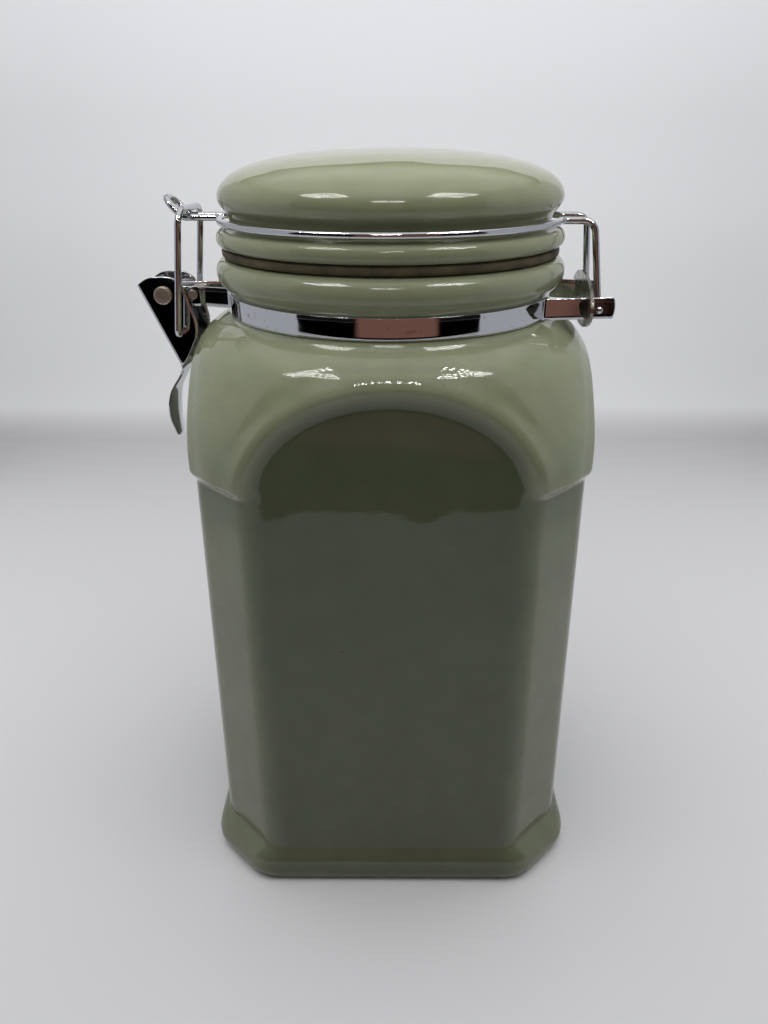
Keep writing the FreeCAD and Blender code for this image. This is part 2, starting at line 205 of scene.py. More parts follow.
def jar_outside(angle, height):
    """Outer surface of foot, body and shoulder: distance from the axis in mm."""
    body = cut_square(angle, BODY_HALF_LOW + (BODY_HALF_HIGH - BODY_HALF_LOW) * height / 166,
                      BODY_FACET, FACET_SOFT)
    foot = cut_square(angle, smooth_curve(height, FOOT[:, 0], FOOT[:, 1]), 19.5, 5.0)
    lower = np.where(height < 15.4, soft_max(body, foot, 0.8), body)
    cap = round_square(angle, smooth_curve(height, SHOULDER[:, 0], SHOULDER[:, 1]),
                       smooth_curve(height, SHOULDER[:, 0], SHOULDER[:, 2]))
    # place on the side that faces this direction: across and up from the arch's springing
    side = (angle + np.pi / 4) % (np.pi / 2) - np.pi / 4
    across, up = np.abs(lower * np.sin(side)), np.maximum(height - ARCH_SPRING, 0)
    tilt = np.arctan2(up, across + 1e-9)
    inner, outer = (1 / np.hypot(np.cos(tilt) / w, np.sin(tilt) / h)
                    for w, h in (ARCH_INNER, ARCH_OUTER))
    across_edge = (np.hypot(across, up) - inner) / (outer - inner)
    arch = soft_step(across_edge)
    lip = soft_step((height - CAP_LOW) / (CAP_HIGH - CAP_LOW))
    mask = arch * lip
    # the cap swells a little just outside the arch, then dips before it runs on
    roll = (ROLL_UP * np.exp(-((across_edge - 1.15) / 0.28) ** 2)
            - ROLL_DIP * np.exp(-((across_edge - 1.9) / 0.35) ** 2))
    return lower + (cap - lower) * mask + roll * lip * (height < 200), mask


heights = np.concatenate([
    np.linspace(0.0, 15.5, 28), np.linspace(19, 147, 17), np.linspace(150, 155, 3),
    np.linspace(156.5, 164, 17), np.linspace(165, 200, 45), np.linspace(200.5, 205.0, 13)])
NECK = [(55.3, 205.6), (55.2, 207.5), (55.2, 210.5), (55.4, 212.8), (56.4, 213.9), (58.2, 215.6),
        (59.2, 217.6), (59.4, 219.4), (59.1, 221.3), (58.0, 222.9), (56.2, 223.8), (54.4, 224.0),
        (50.0, 223.9), (48.2, 223.0), (47.7, 221.0), (47.6, 215.0), (47.7, 209.0), (49.5, 204.0),
        (55.5, 197.5)]
INSIDE = np.array([(190.0, 59.4, 50.0), (180.0, 60.2, 43.0), (165.0, 59.2, 34.0),
                   (145.0, 58.8, 30.0), (90.0, 59.2, 30.0), (30.0, 59.4, 30.0),
                   (13.0, 58.6, 29.0), (9.0, 56.0, 27.0), (8.0, 52.0, 25.0)])
COLUMNS = 440


def jar_rows():
    """All rows of the jar: under the foot, up the outside, over the rim, down the inside."""
    angle = np.linspace(0, 2 * np.pi, COLUMNS, endpoint=False)
    below = [jar_outside(angle, np.zeros(COLUMNS))[0] - step for step in (9.0, 7.5, 6.0, 2.0)]
    below = [np.stack([r, np.full(COLUMNS, z)], -1)
             for r, z in zip(below, (1.6, 1.2, 0.15, 0.0))]
    out = [np.stack([jar_outside(angle, np.full(COLUMNS, z))[0], np.full(COLUMNS, z)], -1)
           for z in heights]
    neck = [np.tile(p, (COLUMNS, 1)) for p in through(NECK, 58)]
    inside = [np.stack([round_square(angle, h, c), np.full(COLUMNS, z)], -1)
              for z, h, c in INSIDE]
    rows = np.array(below + out + neck + inside)
    radius, height = rows[..., 0], rows[..., 1]
    return np.stack([radius * np.cos(angle), radius * np.sin(angle), height], -1) * MM


jar_shell = grid_mesh("jar_shell", jar_rows(), poles=((0, 0, 1.6 * MM), (0, 0, 8.0 * MM)))


def glaze_and_painted_shade(co):
    """How dark the glaze is painted, 0 to 1: light on the cap and neck, darkest on the flat panels
    below it, and between the two on the corner facets. It is partly a glaze that lies thicker on
    the panels and partly painted shade for the upright faces, which the roof lights reach less."""
    angle, height = np.arctan2(co[:, 1], co[:, 0]), co[:, 2] / MM
    mask = jar_outside(angle, np.minimum(height, 205))[1]
    side = np.abs((angle + np.pi / 4) % (np.pi / 2) - np.pi / 4)
    facet = soft_step((side - 0.52) / 0.16)
    return (1 - mask) * (1 - 0.45 * facet) * soft_step((203 - height) / 8)


def points_of(piece):
    """The mesh's points as an array, one row each."""
    points = np.empty(3 * len(piece.data.vertices), np.float32)
    piece.data.vertices.foreach_get("co", points)
    return points.reshape(-1, 3).astype(float)


def store(piece, name, values):
    """Keeps one number per point on the mesh, for its material to read."""
    layer = piece.data.attributes.new(name, "FLOAT", "POINT")
    layer.data.foreach_set("value", values.astype(np.float32))


# painted shade, stored per point: darker below the cap, partly for thicker glaze and partly as
# shade from the roof lights
store(jar_shell, "glaze_and_painted_shade", glaze_and_painted_shade(points_of(jar_shell)))
dress(jar_shell, "jar", "jar_body")
print("jar box", [round(v, 4) for v in jar_shell.dimensions])

# %% [markdown]
# ## The lid
# The lid was thrown or pressed on a wheel, so it is one profile carried round: a low dome, a
# groove that the wire ring sits in, a bead, and a plug that drops into the mouth.

# %% Lid
LID_TOP = 256.8
OUTSIDE_OF_LID = [(20.0, 256.25), (31.0, 255.2), (41.0, 253.5), (48.6, 251.2), (53.8, 248.4),
                  (56.6, 245.3), (57.4, 242.4), (56.7, 240.1), (55.2, 238.3), (54.3, 237.0),
                  (54.0, 235.6), (54.2, 234.2), (55.4, 233.3), (57.2, 232.8), (58.3, 231.7),
                  (58.7, 230.1), (58.3, 228.4), (57.2, 227.5), (55.0, 227.2)]
UNDER_LID = [(44.6, 227.2), (44.0, 226.4), (44.0, 221.0), (43.2, 219.4), (41.0, 219.2),
             (38.8, 219.4), (38.0, 221.0), (38.0, 234.0), (37.0, 241.0), (32.0, 246.4),
             (20.0, 249.2), (8.0, 249.9)]
profile = np.vstack([[(8.0, 256.75)], through(OUTSIDE_OF_LID, 74), through(UNDER_LID, 40)])
lid_shell = grid_mesh("lid_shell", turned(profile, 288)[::-1],
                      poles=((0, 0, 250.0 * MM), (0, 0, LID_TOP * MM)))
dress(lid_shell, "lid", "lid")

# %% [markdown]
# ## Rubber ring
# A flat ring of rubber lies in the seat under the lid and is squeezed against the rim of the
# mouth. It is moulded in one piece, so it is one small rounded section carried round. Only
# its outer edge shows, as a dark line between the two beads.

# %% Gasket
ring = [(45.0, 224.3), (51.0, 224.12), (56.0, 224.15), (56.9, 224.5), (57.15, 225.6),
        (56.9, 226.8), (56.0, 227.15), (51.0, 227.18), (45.0, 227.1), (44.65, 225.7)]
gasket_ring = grid_mesh("gasket_ring", turned(np.vstack([through(ring, 46), ring[:1]]), 240))
dress(gasket_ring, "lid", "gasket")

# %% [markdown]
# ## Clamp metal as swept paths
# The clamp is bent from two stocks: a flat strip and a round wire. Each piece is one section
# carried along a bent path. Every bend is a true arc, as it would be round a former. The
# whole clamp sits five degrees round from the panels, so it is drawn straight and then turned.

# %% Bent paths
CLAMP_TURN = np.radians(-5.0)
PITCH, RUN_PITCH = 0.35, 0.8      # mm between samples on a bend and on a straight run


def bends(points, radii):
    """Samples of a bent path in mm: straight runs joined by arcs of the given radii. A corner
    is cut back by radius / tan(half its angle), and the arc is swept about its centre."""
    points = np.asarray(points, float)
    parts, here = [], points[0]
    for p, before, after, radius in zip(points[1:-1], points[:-2], points[2:], radii):
        u, w = ((q - p) / np.linalg.norm(q - p) for q in (before, after))
        half = np.arccos(np.clip(u @ w, -1, 1)) / 2
        start = p + u * radius / np.tan(half)
        centre = p + (u + w) / np.linalg.norm(u + w) * radius / np.sin(half)
        a = (start - centre) / radius
        t = np.linspace(0, np.pi - 2 * half, max(8, int(radius * 3 / PITCH)))[:, None]
        parts += [run(here, start), centre + radius * (a * np.cos(t) - u * np.sin(t))]
        here = parts[-1][-1]
    return tidy_path(parts + [run(here, points[-1])])


def run(a, b):
    """Evenly spaced points on a straight run."""
    steps = max(2, int(np.linalg.norm(np.asarray(b) - a) / RUN_PITCH))
    return np.linspace(a, b, steps)


def arc(radius, a0, a1, z):
    """Points on a circle about the Z axis."""
    t = np.linspace(a0, a1, max(8, int(abs(a1 - a0) * radius / PITCH)))
    return np.stack([radius * np.cos(t), radius * np.sin(t), z + 0 * t], -1)


def tidy_path(parts):
    """Joins the parts and drops repeated points."""
    path = np.vstack(parts)
    keep = np.r_[True, np.linalg.norm(np.diff(path, axis=0), axis=1) > 1e-3]
    return path[keep]


def off_circle(radius, bend, line_from, line_to):
    """Where a straight arm leaves a circle through an arc of radius `bend`: the touching
    angle on the circle, and the arc's points out to the line. Works below the X axis."""
    a, b = np.asarray(line_from[:2], float), np.asarray(line_to[:2], float)
    d = (b - a) / np.linalg.norm(b - a)
    n = np.array([-d[1], d[0]])
    n = n if n[1] < 0 else -n
    base = a + n * bend
    along = -(base @ d) + np.sqrt((base @ d) ** 2 - base @ base + (radius + bend) ** 2)
    centre = base + d * along
    touch, onto = centre * radius / (radius + bend), centre - n * bend
    t0, t1 = (np.arctan2(*(p - centre)[::-1]) for p in (touch, onto))
    t1 = t0 + (t1 - t0 + np.pi) % (2 * np.pi) - np.pi
    t = np.linspace(t0, t1, 12)
    points = np.stack([centre[0] + bend * np.cos(t), centre[1] + bend * np.sin(t),
                       line_from[2] + 0 * t], -1)
    return np.arctan2(touch[1], touch[0]), points


def turn_clamp(points):
    """Turns points drawn straight into the clamp's place."""
    c, s = np.cos(CLAMP_TURN), np.sin(CLAMP_TURN)
    return points @ np.array([[c, s, 0], [-s, c, 0], [0, 0, 1]])


print("clamp turned by", round(float(np.degrees(CLAMP_TURN)), 1), "degrees")


# %% [markdown]
# ## Neck band
# Two mirrored half bands of flat strip grip the neck. Each starts as an arm under the latch,
# bends round the neck and runs out as an arm to the hinge. A real one is cut from slit coil,
# so its long edges are a little rounded and its ends are nipped to an arc.

# %% Half bands
STRIP, STRIP_LOW, STRIP_HIGH, STRIP_EDGE = 0.8, 205.7, 212.5, 0.22
BAND_R, BAND_BEND, ARM_BEND = 55.6, 1.5, 6.0
END_RADII = (3.42, 9.0)           # mm: the latch end is a half round, the hinge end a slight arc
END_ZONE = 9.0                    # mm of each end where the samples are closer
NUDGE = 0.05                      # mm either side, to find a path's direction


def strip_piece(name, path, end_radii, mirror):
    """Rounded-rectangle section carried along a level path. Near an end every point is drawn
    back by the sagitta of the end's arc at its own height, so the end comes out curved."""
    length = np.r_[0, np.cumsum(np.linalg.norm(np.diff(path, axis=0), axis=1))]
    half_h, half_t = (STRIP_HIGH - STRIP_LOW) / 2, STRIP / 2
    t = np.linspace(0, 2 * np.pi, 36, endpoint=False)
    out = np.sign(np.cos(t)) * (half_t - STRIP_EDGE) + STRIP_EDGE * np.cos(t)
    up = np.clip(3 * np.sin(t), -1, 1) * (half_h - STRIP_EDGE) + STRIP_EDGE * np.sin(t)
    zone = np.linspace(0, END_ZONE, 22)
    s = np.concatenate([np.zeros(3), zone[1:],
                        np.arange(END_ZONE + 0.5, length[-1] - END_ZONE - 0.5, 0.6),
                        length[-1] - zone[:0:-1], np.full(3, length[-1])])
    thin = np.ones(len(s))
    thin[:2], thin[-2:] = (0.0, 0.75), (0.75, 0.0)
    sag = [r - np.sqrt(r * r - np.minimum(np.abs(up), half_h) ** 2 + 1e-6) for r in end_radii]
    near = [soft_step(1 - s / 8.0), soft_step(1 - (length[-1] - s) / 8.0)]
    at = s[:, None] + near[0][:, None] * sag[0] - near[1][:, None] * sag[1]
    x, y = (np.interp(at, length, path[:, k]) for k in (0, 1))
    dx, dy = (np.interp(at + NUDGE, length, path[:, k]) - np.interp(at - NUDGE, length, path[:, k])
              for k in (0, 1))
    size = np.hypot(dx, dy)
    offset = out * thin[:, None]
    rows = np.stack([x + dy / size * offset, y - dx / size * offset,
                     (STRIP_LOW + STRIP_HIGH) / 2 + up + 0 * x], -1)
    if mirror:
        rows = rows * (1, -1, 1)
    rows = turn_clamp(rows) * MM
    return grid_mesh(name, rows[:, ::-1] if not mirror else rows)


level = (STRIP_LOW + STRIP_HIGH) / 2
tip, knee, root = (-83.5, -5.6, level), (-67.2, -5.6, level), (-57.0, -8.3, level)
arm_start, arm_end = (53.8, -21.2, level), (75.0, -16.9, level)
leave_latch, latch_bend = off_circle(BAND_R, BAND_BEND, root, knee)
leave_hinge, hinge_bend = off_circle(BAND_R, BAND_BEND, arm_start, arm_end)
strip_path = tidy_path([bends([tip, knee, latch_bend[-1]], [ARM_BEND]), latch_bend[::-1],
                        arc(BAND_R, leave_latch, leave_hinge, level), hinge_bend,
                        run(hinge_bend[-1], arm_end)])
front_strip = strip_piece("front_strip", strip_path, END_RADII, False)
rear_strip = strip_piece("rear_strip", strip_path, END_RADII, True)
dress(front_strip, "jar", "front_half_band")
dress(rear_strip, "jar", "rear_half_band")

# %% [markdown]
# ## Wires
# The lid wire is one length of hard wire: an ear in each hinge hole, two legs, two half rings
# in the groove of the lid, and a hairpin that the link pulls on. The link is a second wire,
# bent to a stirrup. Cut wire ends are barrelled to a small dome so that they don't scratch.

# %% Wires
WIRE = 1.15


def wire_piece(name, path, around=26):
    """Circle carried along a path. The frame is passed on from sample to sample by removing
    the part of it that points along the new direction, so the tube never twists."""
    step = np.diff(path, axis=0)
    length = np.r_[0, np.cumsum(np.linalg.norm(step, axis=1))]
    s = np.linspace(0, length[-1], int(length[-1] / 0.5))
    centre = np.stack([smooth_curve(s, length, path[:, k]) for k in range(3)], -1)
    along = np.gradient(centre, s, axis=0)
    along /= np.linalg.norm(along, axis=1, keepdims=True)
    frame_x = np.empty_like(along)
    x = np.array([0, 0, 1.0]) if abs(along[0, 2]) < 0.9 else np.array([1.0, 0, 0])
    for i, a in enumerate(along):
        x = x - (x @ a) * a
        x = x / np.linalg.norm(x)
        frame_x[i] = x
    frame_y = np.cross(along, frame_x)
    t = np.linspace(0, 2 * np.pi, around, endpoint=False)[:, None, None]
    dome = np.sin(np.linspace(0.12, np.pi / 2, 6))
    radius = WIRE * np.r_[dome, np.ones(len(s) - 12), dome[::-1]]
    lift = WIRE * 0.6 * np.sqrt(1 - dome ** 2)
    end = np.r_[lift * -1 + lift.max(), np.zeros(len(s) - 12), (lift * -1 + lift.max())[::-1]]
    centre[:6] = centre[0] + along[0] * end[:6, None]
    centre[-6:] = centre[-1] - along[-1] * end[-6:, None]
    rows = centre + radius[:, None] * (np.cos(t) * frame_x + np.sin(t) * frame_y)
    rows = turn_clamp(np.swapaxes(rows, 0, 1)) * MM
    tips = turn_clamp(centre[[0, -1]]) * MM
    return grid_mesh(name, rows, poles=(tips[0], tips[1]))


RING_R, RING_Z, NOSE, LEG = 57.0, 235.3, 4.3, 10.0
leave_leg, leg_bend = off_circle(RING_R, 3.0, (50, -LEG, RING_Z), (66, -LEG, RING_Z))
leave_nose, nose_bend = off_circle(RING_R, 3.0, (-50, -NOSE, RING_Z), (-66, -NOSE, RING_Z))
knee, lift = np.array((-70.9, -NOSE, RING_Z)), np.array((-74.0, -NOSE, 238.4))
rise = (lift - knee) / np.linalg.norm(lift - knee)
half = np.linspace(0, np.pi, 40)[1:-1, None]
hairpin = lift * (1, 0, 1) - np.cos(half) * (0, NOSE, 0) + np.sin(half) * NOSE * rise
near_half = tidy_path([
    bends([(69.8, -19.3, 208.6), (69.8, -15.2, 208.6), (66.9, -LEG, RING_Z), leg_bend[-1]],
          [1.7, 4.0]), leg_bend[::-1], arc(RING_R, leave_leg, leave_nose, RING_Z), nose_bend,
    bends([nose_bend[-1], knee, lift], [3.0])])
far_half = near_half[::-1] * (1, -1, 1)
lid_wire = wire_piece("lid_bail_wire", tidy_path([near_half, hairpin, far_half]))
stirrup = bends([(-74.3, -6.1, 196.8), (-74.3, -12.5, 196.8), (-69.7, -12.5, 238.15),
                 (-69.7, 12.5, 238.15), (-74.3, 12.5, 196.8), (-74.3, 6.1, 196.8)],
                [1.7, 5.0, 5.0, 1.7])
link_wire = wire_piece("link_stirrup", stirrup)
dress(lid_wire, "lid_bail", "lid_wire")
dress(link_wire, "link", "latch_link")

# %% [markdown]
# ## Lever
# The lever is stamped from sheet and folded: two cheeks stand on a straight web, and past the
# cheeks the web runs on as a bowed thumb leaf. It is drawn as one sheet. Rows follow the web
# and then the leaf, and each row is a staple whose legs are as long as the cheek is deep.

# %% Lever
SHEET, FOLD = 0.8, 1.1
SHORT_LEG, TIP_HALF = 0.4, 0.3
DISH_TOP, DISH = 182, 1.1          # mm: height where the dish starts, depth near the edge
WEB_A, WEB_D = np.array((-89.0, 212.75)), np.array((-75.9, 183.7))
RIM = np.array([(-89.0, 213.0), (-85.4, 215.2), (-80.2, 216.0), (-75.9, 215.6), (-73.4, 214.1),
                (-71.2, 209.0), (-69.4, 203.6), (-68.6, 200.2), (-68.9, 195.6), (-71.0, 191.4),
                (-73.3, 187.4), (-75.9, 183.9)])
LEAF = np.array([(-75.9, 183.7), (-77.6, 180.2), (-80.7, 173.5), (-82.2, 165.0), (-82.2, 154.8)])
LEAF_HALF = np.array([(154.4, 0.5), (155.6, 2.6), (159.0, 4.7), (164.0, 6.9), (168.0, 7.5),
                      (172.0, 7.3), (176.0, 6.5), (180.5, 5.1), (182.0, 5.6), (183.4, 7.4),
                      (184.2, 7.4), (185.0, 7.4), (200.0, 7.4), (214.0, 7.4)])


def by_length(points, share):
    """Point at a share of the way along a smooth curve through the points."""
    at = np.r_[0, np.cumsum(np.hypot(*np.diff(points, axis=0).T))]
    return np.stack([smooth_curve(share * at[-1], at, points[:, k]) for k in (0, 1)], -1)


def spine_and_rim():
    """Where each row starts on the web or leaf, and where its legs end, as (x, z) in mm. Rows
    crowd towards the sharp corner, where the rim climbs fastest. A leaf row has no legs."""
    share = np.linspace(0, 1, 90)
    web = WEB_A + (share ** 1.6)[:, None] * (WEB_D - WEB_A)
    leaf = by_length(LEAF, np.linspace(0, 1, 61)[1:])
    return np.vstack([web, leaf]), np.vstack([by_length(RIM, share), leaf])


def staples(half, leg):
    """Centre lines of all rows, as distances across the web and down the leg. A row runs down
    from the tip of one leg, round a quarter fold, over the web and back up the other side."""
    fold = np.minimum(FOLD, leg)[:, None]
    quarter = np.linspace(0, np.pi / 2, 9)
    down = leg[:, None] + (fold - leg[:, None]) * np.linspace(0, 1, 25)
    over = (half[:, None] - fold) * np.linspace(1, -1, 31)[1:-1]
    side = np.hstack([half[:, None] + 0 * down, half[:, None] - fold * (1 - np.cos(quarter))])
    down = np.hstack([down, fold * (1 - np.sin(quarter))])
    return (np.hstack([side, over, -side[:, ::-1]]),
            np.hstack([down, 0 * over, down[:, ::-1]]))


def lever_rows():
    """Both faces of the folded sheet. Each centre line is offset by half a sheet along its own
    normal, less towards the free edges, so the edges come out round."""
    spine, rim = spine_and_rim()
    leg = np.linalg.norm(rim - spine, axis=1)
    slope = np.gradient(spine, axis=0)
    square = np.stack([-slope[:, 1], slope[:, 0]], -1)
    square *= np.sign(square[:, :1]) / (np.linalg.norm(square, axis=1, keepdims=True) + 1e-9)
    toward = np.where(leg[:, None] > SHORT_LEG, (rim - spine) / (leg[:, None] + 1e-9), square)
    half = smooth_curve(spine[:, 1], LEAF_HALF[:, 0], LEAF_HALF[:, 1])
    half[-1] = TIP_HALF
    across, down = staples(half, leg)
    # the leaf is dished away from the jar, more and more below the neck of the lever
    down = down - np.clip((DISH_TOP - spine[:, 1:]) / 8, 0, 1) * DISH * (across / 7.5) ** 2
    along_a, along_d = np.gradient(across, axis=1), np.gradient(down, axis=1)
    size = np.hypot(along_a, along_d) + 1e-9
    edge = np.cumsum(np.hypot(np.diff(across, axis=1, prepend=across[:, :1]),
                              np.diff(down, axis=1, prepend=down[:, :1])), axis=1)
    edge = np.minimum(edge, edge[:, -1:] - edge)
    thick = SHEET / 2 * np.sqrt(1 - np.clip(1 - edge / (SHEET / 2), 0, 1) ** 2)
    thick = thick * np.r_[0, 0.7, np.ones(len(leg) - 4), 0.7, 0][:, None]
    faces = []
    for sign in (1, -1):
        a = across + sign * thick * along_d / size
        d = down - sign * thick * along_a / size
        x, z = spine[:, :1] + toward[:, :1] * d, spine[:, 1:] + toward[:, 1:] * d
        faces.append(np.stack([x, a, z], -1)[:, ::sign])
    return np.concatenate(faces, 1)


lever_sheet = grid_mesh("lever_sheet", turn_clamp(lever_rows()) * MM)
dress(lever_sheet, "lever", "latch_lever")

# %% [markdown]
# ## Helpers for materials
# Each material is a small network of shader nodes. One function adds a node and wires its
# sockets, so the networks below can be read as a list of steps. Colours are picked as sRGB
# hex and turned into the linear values that light adds up in.

# %% Nodes for materials
def linear(hex_colour):
    """sRGB hex to the linear colour that a shader works with."""
    rgb = np.array([int(hex_colour[i:i + 2], 16) for i in (1, 3, 5)]) / 255
    return (*np.where(rgb <= 0.04045, rgb / 12.92, ((rgb + 0.055) / 1.055) ** 2.4), 1.0)


def add(tree, kind, settings=None, **links):
    """Adds one node: `settings` are its properties, `links` its sockets by name or number,
    each given a value or another node's output."""
    node = tree.nodes.new(kind)
    for key, value in (settings or {}).items():
        setattr(node, key, value)
    for key, value in links.items():
        socket = node.inputs[int(key[1:]) if key[0] == "_" else key.replace("_", " ")]
        if isinstance(value, bpy.types.NodeSocket):
            tree.links.new(value, socket)
        else:
            socket.default_value = value
    return node


def new_material(name):
    material = bpy.data.materials.new(name)
    material.use_nodes = True
    tree = material.node_tree
    tree.nodes.clear()
    shader = add(tree, "ShaderNodeBsdfPrincipled")
    output = add(tree, "ShaderNodeOutputMaterial", Surface=shader.outputs[0])
    return material, tree, shader, output


print("mid grey in linear light:", round(float(linear("#808080")[0]), 3))

# %% [markdown]
# ## Glaze
# The body is white stoneware under a sage green gloss glaze. Fired glaze is glass, so it
# mirrors with an index near 1.5 and hardly any blur, and its colour sits under the mirror.
# It runs thin and light over edges, thick and dark in recesses. It crazes into fine cells,
# It is painted darker on the flat panels below the cap and a little less on the corner facets:
# partly a thicker glaze there, partly painted shade for upright faces that the roof lights reach
# less. It crazes into fine cells, traps a few iron specks, and its skin is never quite flat,
# which makes reflections wander.

# %% Glaze
CRAZE_CELL, SPECK_CELL, SPECK_SIZE = 8.0, 15.0, 0.42       # mm
SKIN_RIPPLE, SKIN_WAVE = 2.2, 24.0                         # mm, orange peel and slow wander


def per_metre(size_mm):
    """Texture scale that gives features of this size on coordinates in metres."""
    return 1000 / size_mm


def mix_colour(tree, factor, a, b, blend="MIX"):
    node = add(tree, "ShaderNodeMix", {"data_type": "RGBA", "blend_type": blend}, _0=factor)
    for socket, value in ((node.inputs[6], a), (node.inputs[7], b)):
        if isinstance(value, bpy.types.NodeSocket):
            tree.links.new(value, socket)
        else:
            socket.default_value = value
    return node.outputs[2]


def ramp(tree, value, low, high, start=0.0, end=1.0):
    """Straight ramp: `low` becomes `start`, `high` becomes `end`, clamped outside."""
    return add(tree, "ShaderNodeMapRange", {}, Value=value, From_Min=low, From_Max=high,
               To_Min=start, To_Max=end).outputs[0]


def noise(tree, place, size_mm, detail=3.0, roughness=0.55):
    return add(tree, "ShaderNodeTexNoise", {}, Vector=place, Scale=per_metre(size_mm),
               Detail=detail, Roughness=roughness).outputs[0]


def glaze_material(name, thin, thick, bare_foot):
    material, tree, shader, _ = new_material(name)
    place = add(tree, "ShaderNodeTexCoord").outputs["Object"]
    depth = add(tree, "ShaderNodeAttribute", {"attribute_name": "glaze_and_painted_shade"}).outputs["Fac"]
    drift = noise(tree, place, 60.0)
    uneven = add(tree, "ShaderNodeMath", {"operation": "MULTIPLY_ADD"}, _0=drift, _1=0.30,
                 _2=-0.15).outputs[0]
    depth = add(tree, "ShaderNodeMath", {"use_clamp": True}, _0=depth, _1=uneven).outputs[0]
    # painted shade: the stored value pulls the colour towards the darker one on the panels and
    # facets, partly for thicker glaze and partly as shade from the roof lights
    colour = mix_colour(tree, depth, linear(thin), linear(thick))
    cloud = ramp(tree, noise(tree, place, 9.0, 5.0), 0.3, 0.7, 0.94, 1.05)
    colour = mix_colour(tree, 1.0, colour, cloud, "MULTIPLY")
    # crazing: thin lines between the cells of a warped cell pattern
    warp = add(tree, "ShaderNodeTexNoise", {}, Vector=place, Scale=per_metre(14.0))
    bent = add(tree, "ShaderNodeVectorMath", {"operation": "MULTIPLY_ADD"}, _0=warp.outputs[1],
               _1=(0.004, 0.004, 0.004), _2=place).outputs[0]
    cells = add(tree, "ShaderNodeTexVoronoi", {"feature": "DISTANCE_TO_EDGE"}, Vector=bent,
                Scale=per_metre(CRAZE_CELL)).outputs["Distance"]
    crack = ramp(tree, cells, 0.0, 0.016, 0.20, 0.0)
    patchy = ramp(tree, noise(tree, place, 30.0), 0.45, 0.62)
    crack = add(tree, "ShaderNodeMath", {"operation": "MULTIPLY"}, _0=crack, _1=patchy).outputs[0]
    colour = mix_colour(tree, crack, colour, linear("#5b5540"))
    # iron specks: a dot in a few of the cells
    dots = add(tree, "ShaderNodeTexVoronoi", {}, Vector=place, Scale=per_metre(SPECK_CELL))
    near = ramp(tree, dots.outputs["Distance"], 0.6 * SPECK_SIZE / SPECK_CELL,
                SPECK_SIZE / SPECK_CELL, 1.0, 0.0)
    chosen = add(tree, "ShaderNodeSeparateColor", {}, Color=dots.outputs["Color"]).outputs[0]
    chosen = add(tree, "ShaderNodeMath", {"operation": "GREATER_THAN"}, _0=chosen,
                 _1=0.86).outputs[0]
    speck = add(tree, "ShaderNodeMath", {"operation": "MULTIPLY"}, _0=near, _1=chosen).outputs[0]
    colour = mix_colour(tree, speck, colour, linear("#2c261b"))
    blur = ramp(tree, noise(tree, place, 12.0), 0.3, 0.7, 0.015, 0.05)
    if bare_foot:
        height = add(tree, "ShaderNodeSeparateXYZ", {}, Vector=place).outputs[2]
        ragged = add(tree, "ShaderNodeMath", {"operation": "MULTIPLY_ADD"},
                     _0=noise(tree, place, 4.0), _1=-0.0016, _2=height).outputs[0]
        bare = ramp(tree, ragged, -0.0002, 0.0002, 1.0, 0.0)
        colour = mix_colour(tree, bare, colour, linear("#8d7f69"))
        blur = ramp(tree, bare, 0.0, 1.0, 0.03, 0.75)
    peel = noise(tree, place, SKIN_RIPPLE, 2.0)
    wave = noise(tree, place, SKIN_WAVE, 1.0)
    skin = add(tree, "ShaderNodeBump", {}, Strength=1.0, Distance=0.000010, Height=peel)
    skin = add(tree, "ShaderNodeBump", {}, Strength=1.0, Distance=0.00034, Height=wave,
               Normal=skin.outputs[0])
    tree.links.new(colour, shader.inputs["Base Color"])
    tree.links.new(blur, shader.inputs["Roughness"])
    tree.links.new(skin.outputs[0], shader.inputs["Normal"])
    shader.inputs["IOR"].default_value = 1.5
    return material


# the darker colour marks the panels and facets: a thicker glaze there, plus painted shade
glaze = glaze_material("sage_green_gloss_glaze_on_stoneware", "#84896e", "#525743", True)
lid_glaze = glaze_material("sage_green_gloss_glaze_on_the_lid", "#83876a", "#6a6d55", False)
jar_shell.data.materials.append(glaze)
lid_shell.data.materials.append(lid_glaze)
print("glazes:", glaze.name, lid_glaze.name)

# %% [markdown]
# ## Metals and rubber
# The strip and the wire are steel with a thin bright chrome plate. Chrome mirrors almost
# perfectly and is a little darker than silver, so nearly all it shows is the room. Handling
# leaves faint smudges, drawing leaves lines along the stock, and the plate follows every
# small wave of the metal. The rivets are turned and left plain, so they scatter more. The
# keeper is cheap dull plate. The ring is natural rubber that has yellowed and gone matt, and
# its colour is painted darker still, as shade for the ring tucked in under the lid.

# %% Metal and rubber materials
LINES, SMUDGE, WAVE = 0.16, 7.0, 6.0         # mm: drawing lines, smudges, waves in the metal
RUBBER_MOTTLE, RUBBER_GRAIN = 7.0, 0.5       # mm


def plated(name, colour, blur, wave_depth, line_depth, stretch):
    """Plated metal. `stretch` squeezes the coordinates so that lines run along the stock."""
    material, tree, shader, _ = new_material(name)
    place = add(tree, "ShaderNodeTexCoord").outputs["Object"]
    smudge = noise(tree, place, SMUDGE, 4.0)
    rough = ramp(tree, smudge, 0.35, 0.75, *blur)
    drawn = add(tree, "ShaderNodeVectorMath", {"operation": "MULTIPLY"}, _0=place,
                _1=stretch).outputs[0]
    lines = add(tree, "ShaderNodeBump", {}, Strength=1.0, Distance=line_depth,
                Height=noise(tree, drawn, LINES, 2.0))
    waves = add(tree, "ShaderNodeBump", {}, Strength=1.0, Distance=wave_depth,
                Height=noise(tree, place, WAVE, 1.0), Normal=lines.outputs[0])
    dull = ramp(tree, noise(tree, place, 2.5, 5.0), 0.62, 0.78)
    tint = mix_colour(tree, dull, linear(colour), linear("#8e8a82"))
    tree.links.new(tint, shader.inputs["Base Color"])
    tree.links.new(rough, shader.inputs["Roughness"])
    tree.links.new(waves.outputs[0], shader.inputs["Normal"])
    shader.inputs["Metallic"].default_value = 1.0
    return material


